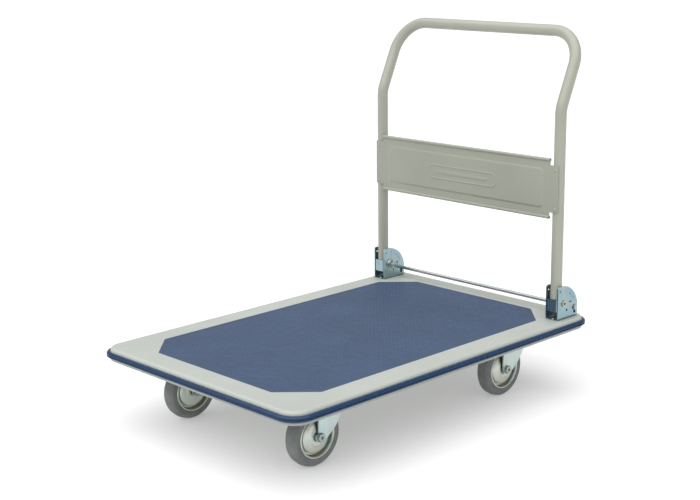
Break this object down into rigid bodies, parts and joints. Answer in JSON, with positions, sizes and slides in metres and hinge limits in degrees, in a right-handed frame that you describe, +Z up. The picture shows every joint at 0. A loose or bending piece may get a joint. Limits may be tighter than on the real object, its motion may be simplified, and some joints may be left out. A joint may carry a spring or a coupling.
{
  "type": "platform cart",
  "caption": "Flat folding platform cart: pressed deck with vinyl mat and bumper strip, fold-down tube handle with foot release bar, rigid front and swivel rear casters.",
  "frame": {"origin": "on the floor below the middle of the deck, at the bottom centre of the bounding box", "axes": "+X towards the handle end along the deck's length, +Y across the deck to the right of a person at the handle, +Z up"},
  "size_m": [0.91, 0.61, 0.8058],
  "materials": {
    "deck_paint": "satin light greenish grey stoving enamel with fine orange peel",
    "frame_paint": "satin light grey enamel, thinner under the deck",
    "mat_vinyl": "slate blue vinyl sheet with a fine raised diamond grid",
    "bumper_vinyl": "navy soft vinyl extrusion with a satin sheen",
    "tube_paint": "semi-gloss greenish grey enamel",
    "panel_paint": "semi-gloss greenish grey enamel",
    "tyre_rubber": "matt mid grey non-marking rubber",
    "hub_zinc": "bright zinc plating, spun",
    "fork_zinc": "bright zinc plating with a bluish cast",
    "bracket_zinc": "bluish bright zinc plating",
    "rod_zinc": "bright zinc plated drawn bar",
    "fastener_zinc": "bright zinc plated hardware",
    "bearing_steel": "ground bearing steel, greased",
    "dark_plastic": "moulded dark grey polyethylene"
  },
  "bodies": {
    "root": {"caster_bolts": "fastener_zinc", "caster_nuts": "fastener_zinc", "deck_braces": "frame_paint", "deck_mat": "mat_vinyl", "deck_rails": "frame_paint", "deck_tray": "deck_paint", "edge_bumper": "bumper_vinyl", "front_axle_bolts": "fastener_zinc", "front_axle_sleeves": "fastener_zinc", "hinge_backing_plates": "frame_paint", "hinge_bolts": "fastener_zinc", "hinge_bracket_left": "bracket_zinc", "hinge_bracket_right": "bracket_zinc", "hinge_nuts": "fastener_zinc", "pivot_pins": "fastener_zinc", "pivot_rings": "fastener_zinc", "release_spring_left": "rod_zinc", "release_spring_right": "rod_zinc", "rigid_fork_left": "fork_zinc", "rigid_fork_right": "fork_zinc", "swivel_plate_left": "fork_zinc", "swivel_plate_right": "fork_zinc"},
    "handle": {"back_panel": "panel_paint", "handle_tube": "tube_paint", "latch_collar_left": "bracket_zinc", "latch_collar_right": "bracket_zinc", "panel_rivets": "panel_paint", "tube_end_plugs": "dark_plastic"},
    "release_bar": {"release_rod": "rod_zinc", "rod_rings": "rod_zinc"},
    "swivel_left": {"kingpin_left": "fastener_zinc", "rear_axle_bolt_left": "fastener_zinc", "rear_axle_sleeve_left": "fastener_zinc", "swivel_balls_left": "bearing_steel", "swivel_fork_left": "fork_zinc"},
    "swivel_right": {"kingpin_right": "fastener_zinc", "rear_axle_bolt_right": "fastener_zinc", "rear_axle_sleeve_right": "fastener_zinc", "swivel_balls_right": "bearing_steel", "swivel_fork_right": "fork_zinc"},
    "wheel_front_left": {"hub_discs_front_left": "hub_zinc", "tyre_front_left": "tyre_rubber", "wheel_bearing_front_left": "bearing_steel", "wheel_rim_front_left": "hub_zinc"},
    "wheel_front_right": {"hub_discs_front_right": "hub_zinc", "tyre_front_right": "tyre_rubber", "wheel_bearing_front_right": "bearing_steel", "wheel_rim_front_right": "hub_zinc"},
    "wheel_rear_left": {"hub_discs_rear_left": "hub_zinc", "tyre_rear_left": "tyre_rubber", "wheel_bearing_rear_left": "bearing_steel", "wheel_rim_rear_left": "hub_zinc"},
    "wheel_rear_right": {"hub_discs_rear_right": "hub_zinc", "tyre_rear_right": "tyre_rubber", "wheel_bearing_rear_right": "bearing_steel", "wheel_rim_rear_right": "hub_zinc"}
  },
  "joints": [
    {"name": "handle_fold", "type": "hinge", "parent": "root", "child": "handle", "pos_m": [0.374, 0, 0.204], "axis": [0, -1, 0], "range_deg": [0, 90]},
    {"name": "release_press", "type": "slide", "parent": "root", "child": "release_bar", "axis": [0, 0, -1], "range_m": [0, 0.01], "stiffness_N_per_m": 1500, "springref_m": -0.005, "deforming": ["release_spring_left", "release_spring_right"]},
    {"name": "caster_swivel_left", "type": "hinge", "parent": "root", "child": "swivel_left", "pos_m": [0.2988, -0.191, 0.141], "axis": [0, 0, 1], "continuous": true},
    {"name": "caster_swivel_right", "type": "hinge", "parent": "root", "child": "swivel_right", "pos_m": [0.2988, 0.191, 0.141], "axis": [0, 0, 1], "continuous": true},
    {"name": "wheel_spin_front_left", "type": "hinge", "parent": "root", "child": "wheel_front_left", "pos_m": [-0.3046, -0.191, 0.0625], "axis": [0, 1, 0], "continuous": true},
    {"name": "wheel_spin_front_right", "type": "hinge", "parent": "root", "child": "wheel_front_right", "pos_m": [-0.3046, 0.191, 0.0625], "axis": [0, 1, 0], "continuous": true},
    {"name": "wheel_spin_rear_left", "type": "hinge", "parent": "swivel_left", "child": "wheel_rear_left", "pos_m": [0.2638, -0.191, 0.0625], "axis": [0, 1, 0], "continuous": true},
    {"name": "wheel_spin_rear_right", "type": "hinge", "parent": "swivel_right", "child": "wheel_rear_right", "pos_m": [0.2638, 0.191, 0.0625], "axis": [0, 1, 0], "continuous": true}
  ]
}
